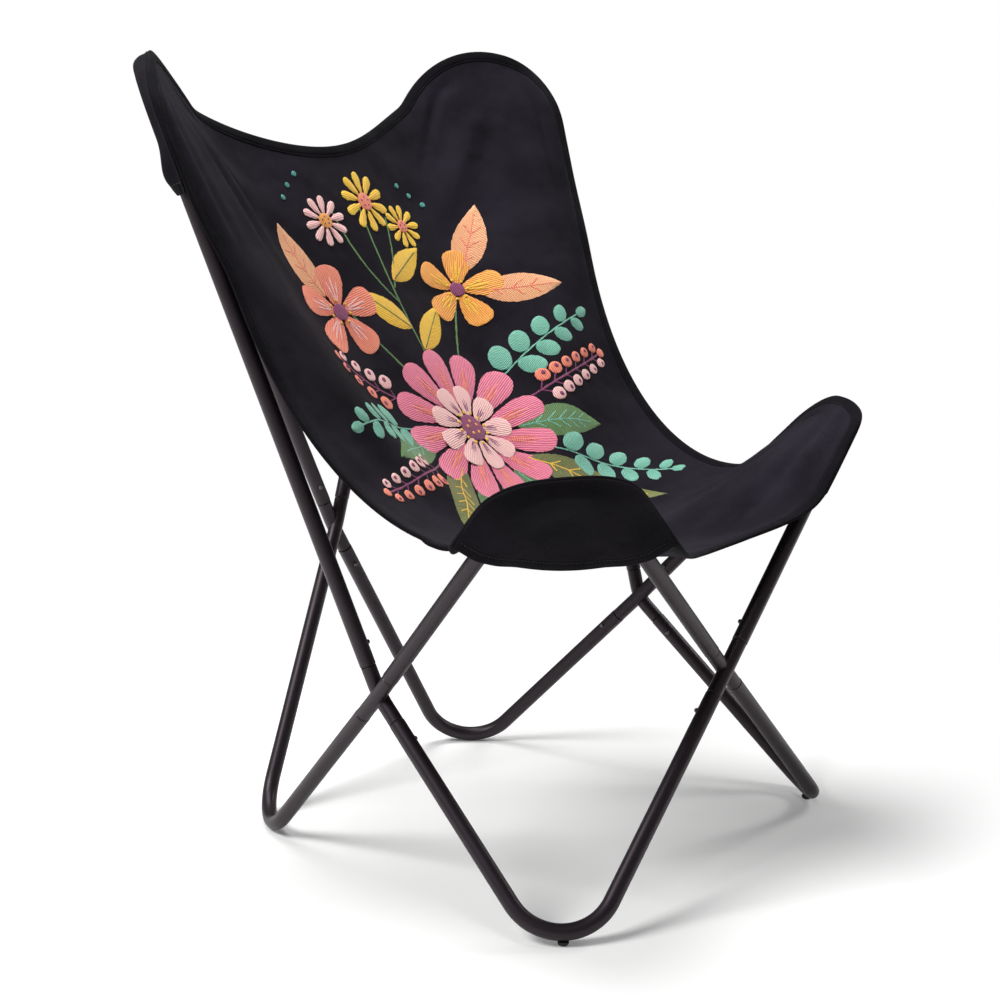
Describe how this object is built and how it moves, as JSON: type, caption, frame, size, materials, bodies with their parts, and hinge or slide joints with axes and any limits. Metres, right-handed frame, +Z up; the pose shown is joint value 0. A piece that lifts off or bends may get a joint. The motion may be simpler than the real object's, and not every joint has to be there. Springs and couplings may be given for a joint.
{
  "type": "butterfly sling chair",
  "caption": "Butterfly chair: a canvas sling hung by corner pockets on a knock-down frame of bent steel tube with crossed legs and snap-button joints.",
  "frame": {"origin": "on the floor under the middle of the chair in plan", "axes": "+Z up; -Y is the front of the chair; -X is the left side as seen from the front"},
  "size_m": [0.7318, 0.6688, 0.9063],
  "materials": {
    "frame_tube": "satin black powder coat",
    "snap_button": "dark blackened steel",
    "leaf_spring": "bare spring steel",
    "foot": "moulded black nylon",
    "canvas": "plain woven black cotton canvas with embroidery",
    "pocket_canvas": "plain woven black cotton canvas",
    "binding": "folded canvas hem with one line of stitching"
  },
  "bodies": {
    "frame": {"hoop_back_left": "frame_tube", "spring_hoop_back_left_cross_left": "leaf_spring", "spring_hoop_back_left_cross_back": "leaf_spring", "floor_bend_back_left": "frame_tube", "spring_floor_bend_back_left_cross_left": "leaf_spring", "spring_floor_bend_back_left_cross_back": "leaf_spring", "hoop_back_right": "frame_tube", "spring_hoop_back_right_cross_right": "leaf_spring", "spring_hoop_back_right_cross_back": "leaf_spring", "floor_bend_back_right": "frame_tube", "spring_floor_bend_back_right_cross_right": "leaf_spring", "spring_floor_bend_back_right_cross_back": "leaf_spring", "hoop_front_left": "frame_tube", "spring_hoop_front_left_cross_left": "leaf_spring", "spring_hoop_front_left_cross_front": "leaf_spring", "floor_bend_front_left": "frame_tube", "spring_floor_bend_front_left_cross_left": "leaf_spring", "spring_floor_bend_front_left_cross_front": "leaf_spring", "foot_front_left": "foot", "hoop_front_right": "frame_tube", "spring_hoop_front_right_cross_right": "leaf_spring", "spring_hoop_front_right_cross_front": "leaf_spring", "floor_bend_front_right": "frame_tube", "spring_floor_bend_front_right_cross_right": "leaf_spring", "spring_floor_bend_front_right_cross_front": "leaf_spring", "foot_front_right": "foot", "cross_left": "frame_tube", "cross_right": "frame_tube", "cross_front": "frame_tube", "cross_back": "frame_tube", "sling": "canvas", "edge_binding": "binding", "pocket_back_left": "pocket_canvas", "pocket_back_right": "pocket_canvas", "pocket_front_left": "pocket_canvas", "pocket_front_right": "pocket_canvas"},
    "button_hoop_back_left_cross_left": {"button_hoop_back_left_cross_left": "snap_button"},
    "button_hoop_back_left_cross_back": {"button_hoop_back_left_cross_back": "snap_button"},
    "button_floor_bend_back_left_cross_left": {"button_floor_bend_back_left_cross_left": "snap_button"},
    "button_floor_bend_back_left_cross_back": {"button_floor_bend_back_left_cross_back": "snap_button"},
    "button_hoop_back_right_cross_right": {"button_hoop_back_right_cross_right": "snap_button"},
    "button_hoop_back_right_cross_back": {"button_hoop_back_right_cross_back": "snap_button"},
    "button_floor_bend_back_right_cross_right": {"button_floor_bend_back_right_cross_right": "snap_button"},
    "button_floor_bend_back_right_cross_back": {"button_floor_bend_back_right_cross_back": "snap_button"},
    "button_hoop_front_left_cross_left": {"button_hoop_front_left_cross_left": "snap_button"},
    "button_hoop_front_left_cross_front": {"button_hoop_front_left_cross_front": "snap_button"},
    "button_floor_bend_front_left_cross_left": {"button_floor_bend_front_left_cross_left": "snap_button"},
    "button_floor_bend_front_left_cross_front": {"button_floor_bend_front_left_cross_front": "snap_button"},
    "button_hoop_front_right_cross_right": {"button_hoop_front_right_cross_right": "snap_button"},
    "button_hoop_front_right_cross_front": {"button_hoop_front_right_cross_front": "snap_button"},
    "button_floor_bend_front_right_cross_right": {"button_floor_bend_front_right_cross_right": "snap_button"},
    "button_floor_bend_front_right_cross_front": {"button_floor_bend_front_right_cross_front": "snap_button"}
  },
  "joints": [
    {"name": "press_hoop_back_left_cross_left", "type": "slide", "parent": "frame", "child": "button_hoop_back_left_cross_left", "axis": [-0.9218, 0.3029, -0.2421], "range_m": [0, 0.0045], "stiffness_N_per_m": 300, "springref_m": -0.001, "deforming": ["spring_hoop_back_left_cross_left"]},
    {"name": "press_hoop_back_left_cross_back", "type": "slide", "parent": "frame", "child": "button_hoop_back_left_cross_back", "axis": [0.3388, 0.9371, 0.0836], "range_m": [0, 0.0045], "stiffness_N_per_m": 300, "springref_m": -0.001, "deforming": ["spring_hoop_back_left_cross_back"]},
    {"name": "press_floor_bend_back_left_cross_left", "type": "slide", "parent": "frame", "child": "button_floor_bend_back_left_cross_left", "axis": [-0.9407, -0.1048, -0.3227], "range_m": [0, 0.0045], "stiffness_N_per_m": 300, "springref_m": -0.001, "deforming": ["spring_floor_bend_back_left_cross_left"]},
    {"name": "press_floor_bend_back_left_cross_back", "type": "slide", "parent": "frame", "child": "button_floor_bend_back_left_cross_back", "axis": [-0.3263, 0.9408, 0.0919], "range_m": [0, 0.0045], "stiffness_N_per_m": 300, "springref_m": -0.001, "deforming": ["spring_floor_bend_back_left_cross_back"]},
    {"name": "press_hoop_back_right_cross_right", "type": "slide", "parent": "frame", "child": "button_hoop_back_right_cross_right", "axis": [0.9228, 0.3039, -0.2369], "range_m": [0, 0.0045], "stiffness_N_per_m": 300, "springref_m": -0.001, "deforming": ["spring_hoop_back_right_cross_right"]},
    {"name": "press_hoop_back_right_cross_back", "type": "slide", "parent": "frame", "child": "button_hoop_back_right_cross_back", "axis": [-0.3414, 0.9367, 0.0778], "range_m": [0, 0.0045], "stiffness_N_per_m": 300, "springref_m": -0.001, "deforming": ["spring_hoop_back_right_cross_back"]},
    {"name": "press_floor_bend_back_right_cross_right", "type": "slide", "parent": "frame", "child": "button_floor_bend_back_right_cross_right", "axis": [0.9434, -0.1137, -0.3115], "range_m": [0, 0.0045], "stiffness_N_per_m": 300, "springref_m": -0.001, "deforming": ["spring_floor_bend_back_right_cross_right"]},
    {"name": "press_floor_bend_back_right_cross_back", "type": "slide", "parent": "frame", "child": "button_floor_bend_back_right_cross_back", "axis": [0.3318, 0.9399, 0.0808], "range_m": [0, 0.0045], "stiffness_N_per_m": 300, "springref_m": -0.001, "deforming": ["spring_floor_bend_back_right_cross_back"]},
    {"name": "press_hoop_front_left_cross_left", "type": "slide", "parent": "frame", "child": "button_hoop_front_left_cross_left", "axis": [-0.9413, -0.13, -0.3115], "range_m": [0, 0.0045], "stiffness_N_per_m": 300, "springref_m": -0.001, "deforming": ["spring_hoop_front_left_cross_left"]},
    {"name": "press_hoop_front_left_cross_front", "type": "slide", "parent": "frame", "child": "button_hoop_front_left_cross_front", "axis": [-0.1621, -0.9638, -0.2118], "range_m": [0, 0.0045], "stiffness_N_per_m": 300, "springref_m": -0.001, "deforming": ["spring_hoop_front_left_cross_front"]},
    {"name": "press_floor_bend_front_left_cross_left", "type": "slide", "parent": "frame", "child": "button_floor_bend_front_left_cross_left", "axis": [-0.9612, 0.2457, -0.1257], "range_m": [0, 0.0045], "stiffness_N_per_m": 300, "springref_m": -0.001, "deforming": ["spring_floor_bend_front_left_cross_left"]},
    {"name": "press_floor_bend_front_left_cross_front", "type": "slide", "parent": "frame", "child": "button_floor_bend_front_left_cross_front", "axis": [0.1657, -0.9639, -0.2085], "range_m": [0, 0.0045], "stiffness_N_per_m": 300, "springref_m": -0.001, "deforming": ["spring_floor_bend_front_left_cross_front"]},
    {"name": "press_hoop_front_right_cross_right", "type": "slide", "parent": "frame", "child": "button_hoop_front_right_cross_right", "axis": [0.9388, -0.1239, -0.3213], "range_m": [0, 0.0045], "stiffness_N_per_m": 300, "springref_m": -0.001, "deforming": ["spring_hoop_front_right_cross_right"]},
    {"name": "press_hoop_front_right_cross_front", "type": "slide", "parent": "frame", "child": "button_hoop_front_right_cross_front", "axis": [0.1699, -0.9643, -0.2029], "range_m": [0, 0.0045], "stiffness_N_per_m": 300, "springref_m": -0.001, "deforming": ["spring_hoop_front_right_cross_front"]},
    {"name": "press_floor_bend_front_right_cross_right", "type": "slide", "parent": "frame", "child": "button_floor_bend_front_right_cross_right", "axis": [0.9624, 0.2354, -0.136], "range_m": [0, 0.0045], "stiffness_N_per_m": 300, "springref_m": -0.001, "deforming": ["spring_floor_bend_front_right_cross_right"]},
    {"name": "press_floor_bend_front_right_cross_front", "type": "slide", "parent": "frame", "child": "button_floor_bend_front_right_cross_front", "axis": [-0.1753, -0.9643, -0.1985], "range_m": [0, 0.0045], "stiffness_N_per_m": 300, "springref_m": -0.001, "deforming": ["spring_floor_bend_front_right_cross_front"]}
  ]
}
